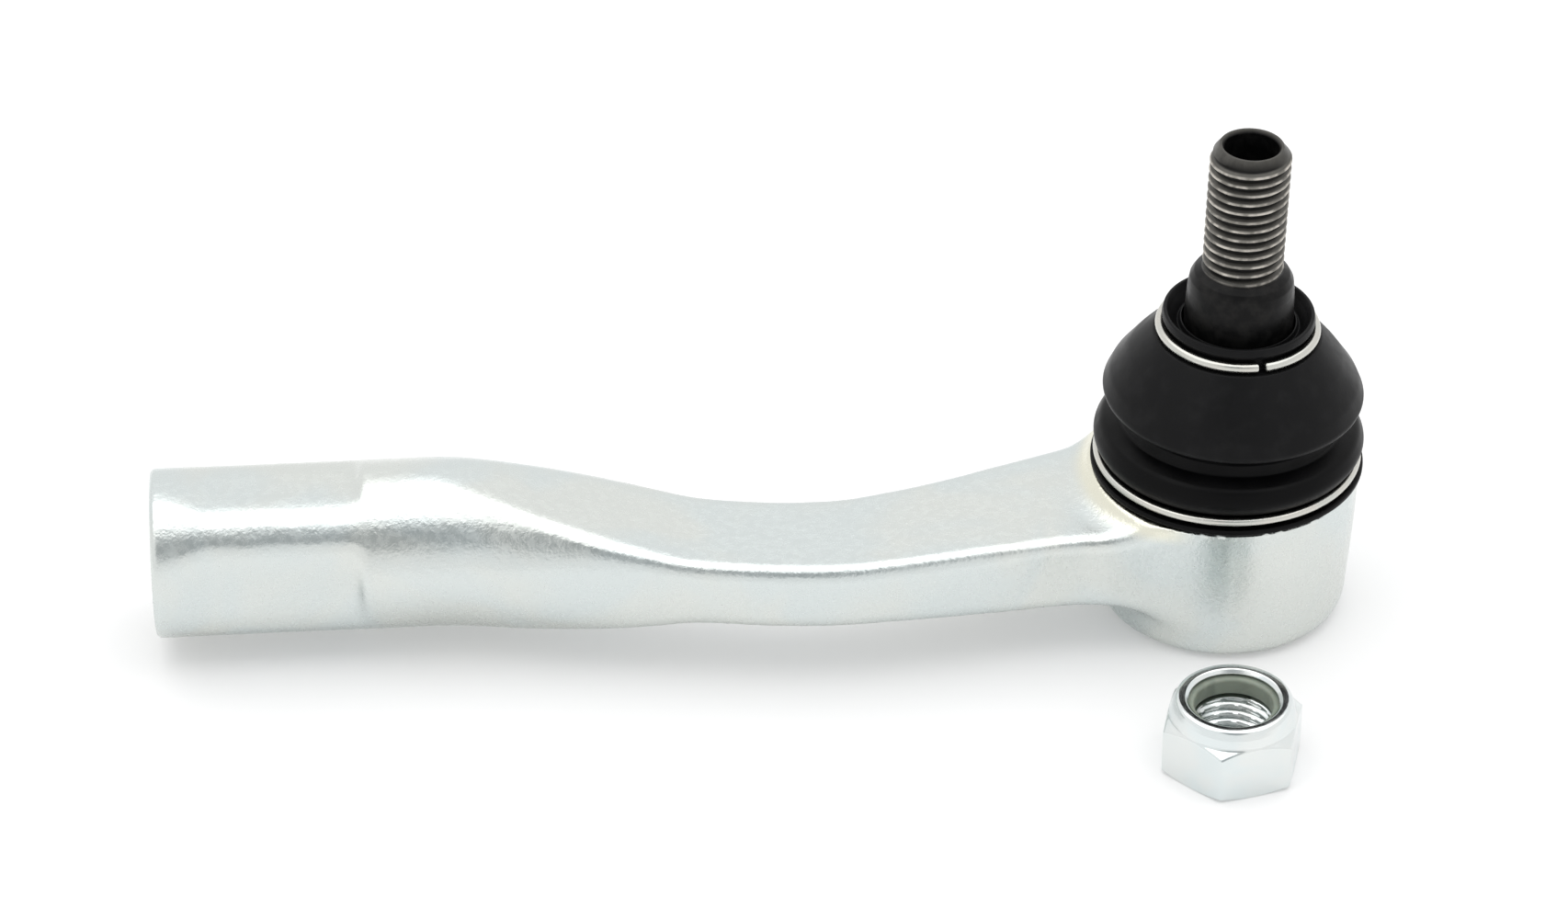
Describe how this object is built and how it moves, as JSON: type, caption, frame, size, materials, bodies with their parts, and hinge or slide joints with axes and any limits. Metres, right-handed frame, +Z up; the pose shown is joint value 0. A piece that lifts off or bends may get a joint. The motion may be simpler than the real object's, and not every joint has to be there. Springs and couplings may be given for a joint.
{
  "type": "tie rod end",
  "caption": "Outer steering tie rod end: bent forged arm with internally threaded shank, ball stud in a rubber-booted housing, and a self-locking nut beside it.",
  "frame": {"origin": "centre of the ball housing's base, where the end cover's boss stands on the floor, straight below the ball's centre", "axes": "+Z up out of the housing's mouth, which the ball stud leans 1.3 degrees from towards +X, -X along the arm towards the internally threaded shank, +Y away from the side that the arm bends to"},
  "size_m": [0.1776, 0.0717, 0.0777],
  "materials": {
    "forged_zinc": "zinc plated over a shot-blasted forging",
    "pressed_zinc": "zinc plated, smooth",
    "spring_steel": "plain spring steel",
    "acetal": "smooth moulded",
    "stud_steel": "black phosphate, worn bright on the thread's crests",
    "boot_rubber": "satin moulded rubber",
    "ring_wire": "bright wire",
    "nut_zinc": "bright zinc plate",
    "nylon": "translucent moulded nylon"
  },
  "bodies": {
    "housing": {"housing": "forged_zinc", "end_cover": "pressed_zinc", "preload_spring": "spring_steel", "upper_seat": "acetal", "dust_boot": "boot_rubber", "lower_clamp_ring": "ring_wire"},
    "bearing_seat": {"lower_seat": "acetal"},
    "boot_neck": {"upper_clamp_ring": "ring_wire"},
    "stud": {"ball_stud": "stud_steel"},
    "lock_nut": {"lock_nut": "nut_zinc", "nut_insert": "nylon"}
  },
  "joints": [
    {"name": "tilt_direction", "type": "hinge", "parent": "housing", "child": "bearing_seat", "pos_m": [0, 0, 0.0149], "axis": [0, 0, 1], "continuous": true},
    {"name": "stud_tilt", "type": "hinge", "parent": "bearing_seat", "child": "boot_neck", "pos_m": [0, 0, 0.0149], "axis": [0, 1, 0], "range_deg": [-20, 20], "deforming": ["dust_boot"]},
    {"name": "stud_spin", "type": "hinge", "parent": "boot_neck", "child": "stud", "pos_m": [0, 0, 0.0149], "axis": [0.0227, 0, 0.9997], "continuous": true},
    {"name": "nut_lift", "type": "slide", "parent": "housing", "child": "lock_nut", "axis": [0, 0, 1], "range_m": [0, 0.07]}
  ]
}
